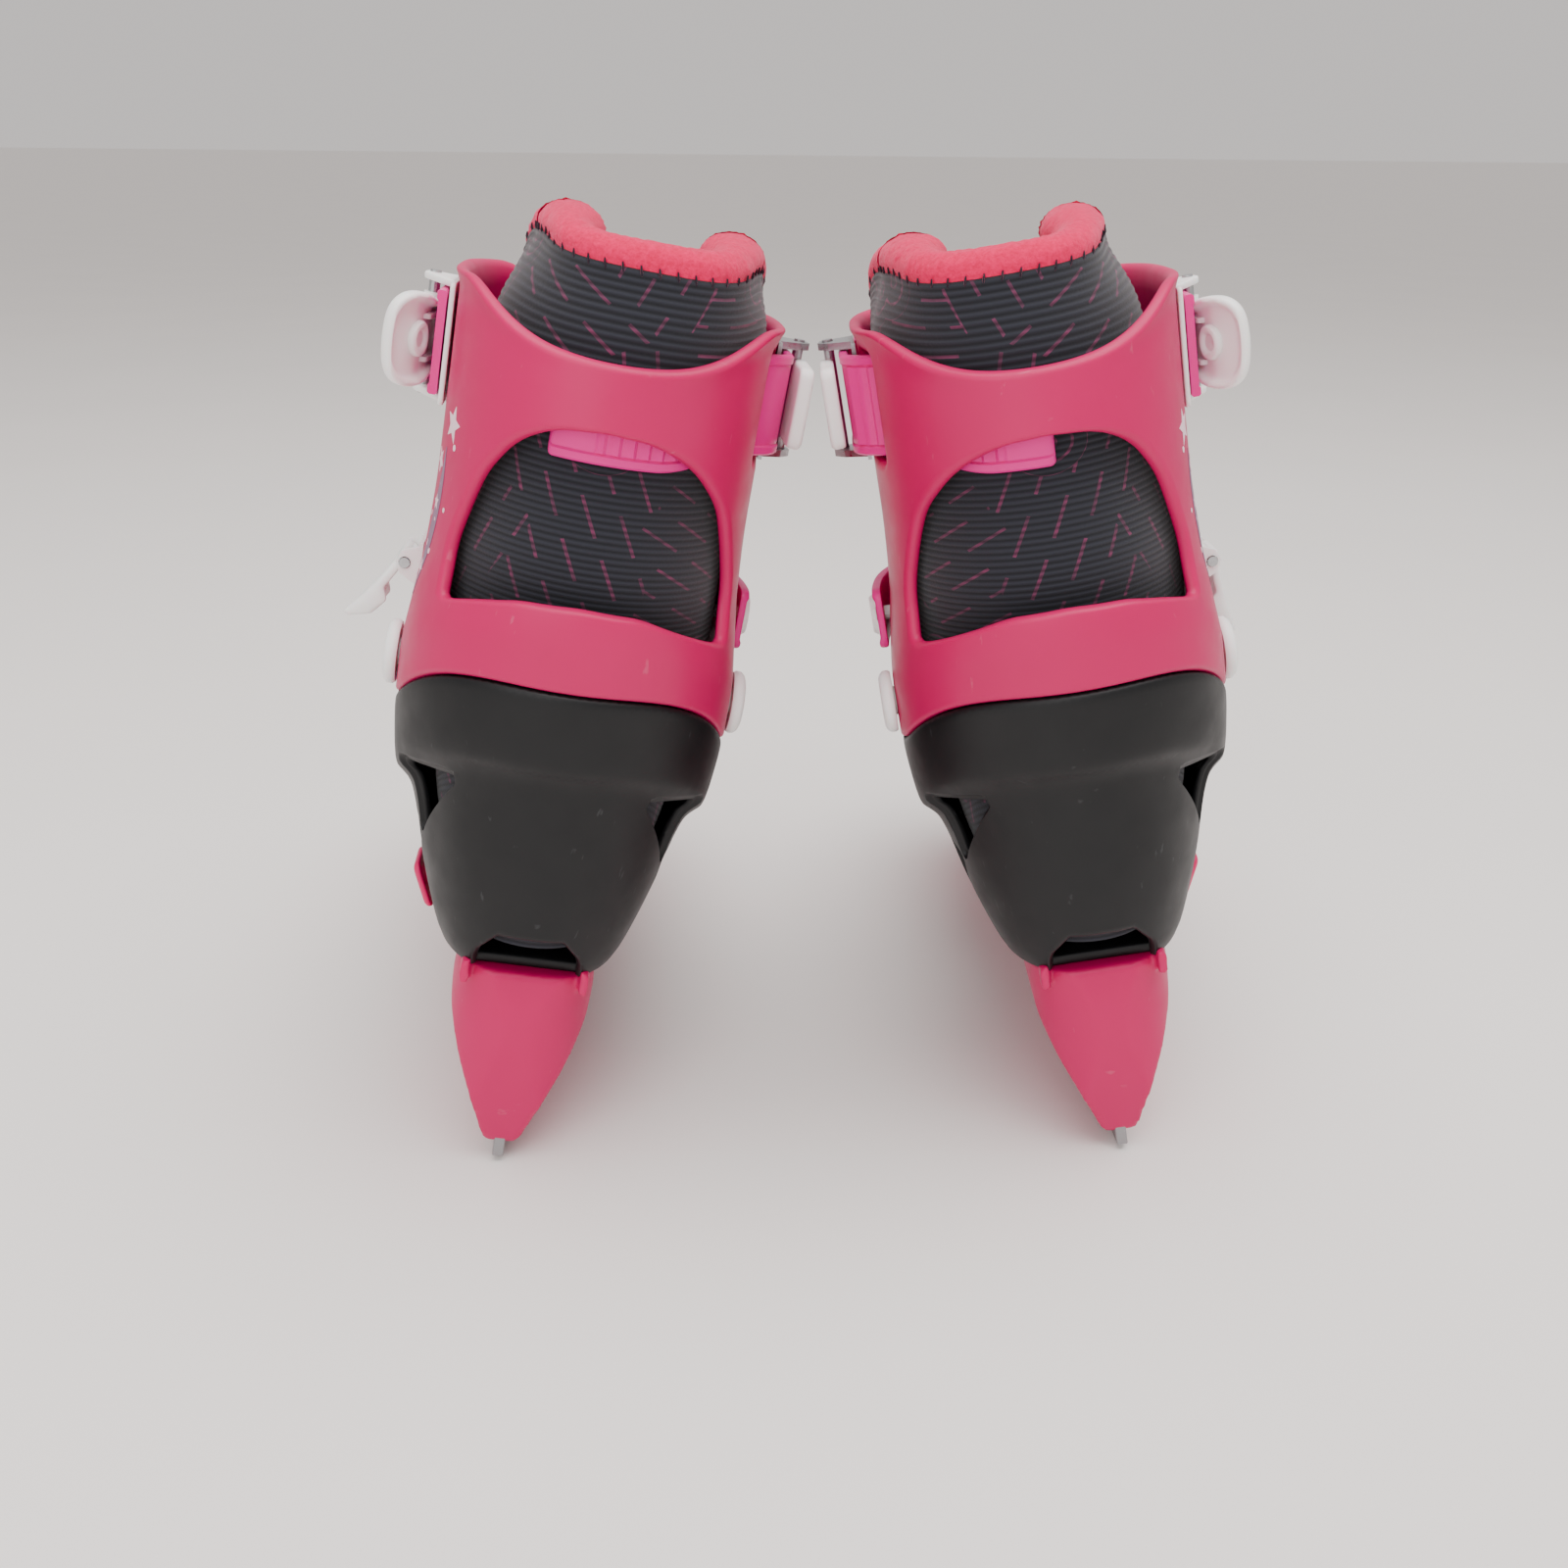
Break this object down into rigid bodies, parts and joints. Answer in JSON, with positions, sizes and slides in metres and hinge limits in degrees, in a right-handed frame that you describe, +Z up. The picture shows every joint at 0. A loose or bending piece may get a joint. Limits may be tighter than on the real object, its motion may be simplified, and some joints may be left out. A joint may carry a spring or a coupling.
{
  "type": "ice skates",
  "caption": "Pair of a child's adjustable hard-shell ice skates with buckled cuffs and soft liners, standing on their blades and leaning together.",
  "frame": {"origin": "bottom centre of the pair's bounding box, on the ice between the two blades", "axes": "+Z up, +Y towards the toes, +X towards the right skate"},
  "size_m": [0.2488, 0.2458, 0.2562],
  "materials": {
    "runner_steel": "ground",
    "zinc_steel": "zinc plated",
    "pink_polypropylene": "satin moulded",
    "black_polypropylene": "satin moulded",
    "white_nylon": "moulded",
    "magenta_strap": "gloss moulded",
    "magenta_acetal": "moulded",
    "liner_fabric": "ribbed weave",
    "pink_fleece": "brushed",
    "insole_foam": "matte"
  },
  "bodies": {
    "left_base": {"left_blade": "runner_steel", "left_blade_holder": "pink_polypropylene", "left_blade_bolt_rear": "zinc_steel", "left_blade_bolt_front": "zinc_steel", "left_holder_bolt_rear": "zinc_steel", "left_holder_bolt_front": "zinc_steel", "left_heel_shell": "black_polypropylene", "left_ankle_rivet_outer": "white_nylon", "left_ankle_rivet_inner": "white_nylon", "left_liner_foot": "liner_fabric", "left_insole": "insole_foam"},
    "left_toe": {"left_toe_shell": "black_polypropylene"},
    "left_button": {"left_size_button": "magenta_acetal"},
    "left_ankle": {"left_cuff": "pink_polypropylene", "left_liner_shaft": "liner_fabric", "left_lining_collar": "pink_fleece", "left_tongue": "liner_fabric", "left_cuff_strap": "magenta_strap", "left_cam_base": "white_nylon", "left_cam_pin": "zinc_steel", "left_ratchet_frame": "zinc_steel", "left_ratchet_pin": "zinc_steel", "left_instep_strap": "magenta_strap", "left_instep_base": "white_nylon", "left_instep_pin": "zinc_steel", "left_instep_anchor": "white_nylon"},
    "left_cam": {"left_cam_lever": "white_nylon"},
    "left_ratchet": {"left_ratchet_lever": "white_nylon"},
    "left_instep": {"left_instep_lever": "white_nylon"},
    "right_base": {"right_blade": "runner_steel", "right_blade_holder": "pink_polypropylene", "right_blade_bolt_rear": "zinc_steel", "right_blade_bolt_front": "zinc_steel", "right_holder_bolt_rear": "zinc_steel", "right_holder_bolt_front": "zinc_steel", "right_heel_shell": "black_polypropylene", "right_ankle_rivet_outer": "white_nylon", "right_ankle_rivet_inner": "white_nylon", "right_liner_foot": "liner_fabric", "right_insole": "insole_foam"},
    "right_toe": {"right_toe_shell": "black_polypropylene"},
    "right_button": {"right_size_button": "magenta_acetal"},
    "right_ankle": {"right_cuff": "pink_polypropylene", "right_liner_shaft": "liner_fabric", "right_lining_collar": "pink_fleece", "right_tongue": "liner_fabric", "right_cuff_strap": "magenta_strap", "right_cam_base": "white_nylon", "right_cam_pin": "zinc_steel", "right_ratchet_frame": "zinc_steel", "right_ratchet_pin": "zinc_steel", "right_instep_strap": "magenta_strap", "right_instep_base": "white_nylon", "right_instep_pin": "zinc_steel", "right_instep_anchor": "white_nylon"},
    "right_cam": {"right_cam_lever": "white_nylon"},
    "right_ratchet": {"right_ratchet_lever": "white_nylon"},
    "right_instep": {"right_instep_lever": "white_nylon"}
  },
  "joints": [
    {"name": "right_skate_slide", "type": "slide", "parent": "left_base", "child": "right_base", "axis": [1, 0, 0], "range_m": [0, 0.12]},
    {"name": "left_ankle_flex", "type": "hinge", "parent": "left_base", "child": "left_ankle", "pos_m": [-0.06445, -0.07462, 0.13006], "axis": [-0.9816, -0.0566, 0.1822], "range_deg": [0, 12]},
    {"name": "left_size_slide", "type": "slide", "parent": "left_base", "child": "left_toe", "axis": [-0.0576, 0.9983, 0], "range_m": [0, 0.02]},
    {"name": "left_button_press", "type": "slide", "parent": "left_base", "child": "left_button", "axis": [0.9783, 0.0564, 0.1994], "range_m": [0, 0.002], "stiffness_N_per_m": 800},
    {"name": "left_cam_hinge", "type": "hinge", "parent": "left_ankle", "child": "left_cam", "pos_m": [-0.09671, -0.05945, 0.21723], "axis": [-0.1819, -0.0105, -0.9833], "range_deg": [0, 100]},
    {"name": "left_ratchet_hinge", "type": "hinge", "parent": "left_ankle", "child": "left_ratchet", "pos_m": [-0.00503, -0.05417, 0.20021], "axis": [0.1819, 0.0105, 0.9833], "range_deg": [0, 60]},
    {"name": "left_instep_hinge", "type": "hinge", "parent": "left_ankle", "child": "left_instep", "pos_m": [-0.10667, -0.06003, 0.15959], "axis": [-0.0576, 0.9983, 0], "range_deg": [-24, 71]},
    {"name": "right_ankle_flex", "type": "hinge", "parent": "right_base", "child": "right_ankle", "pos_m": [0.06702, -0.07462, 0.13006], "axis": [-0.9816, 0.0566, -0.1822], "range_deg": [0, 12]},
    {"name": "right_size_slide", "type": "slide", "parent": "right_base", "child": "right_toe", "axis": [0.0576, 0.9983, 0], "range_m": [0, 0.02]},
    {"name": "right_button_press", "type": "slide", "parent": "right_base", "child": "right_button", "axis": [-0.9783, 0.0564, 0.1994], "range_m": [0, 0.002], "stiffness_N_per_m": 800},
    {"name": "right_cam_hinge", "type": "hinge", "parent": "right_ankle", "child": "right_cam", "pos_m": [0.09929, -0.05945, 0.21723], "axis": [-0.1819, 0.0105, 0.9833], "range_deg": [0, 100]},
    {"name": "right_ratchet_hinge", "type": "hinge", "parent": "right_ankle", "child": "right_ratchet", "pos_m": [0.00761, -0.05417, 0.20021], "axis": [0.1819, -0.0105, -0.9833], "range_deg": [0, 60]},
    {"name": "right_instep_hinge", "type": "hinge", "parent": "right_ankle", "child": "right_instep", "pos_m": [0.10925, -0.06003, 0.15959], "axis": [-0.0576, -0.9983, 0], "range_deg": [0, 95]}
  ],
  "couplings": [
    {"joint": "left_ratchet_hinge", "follows": "right_skate_slide", "rad_per_m": 8.7266},
    {"joint": "right_ratchet_hinge", "follows": "right_skate_slide", "rad_per_m": 8.7266}
  ]
}
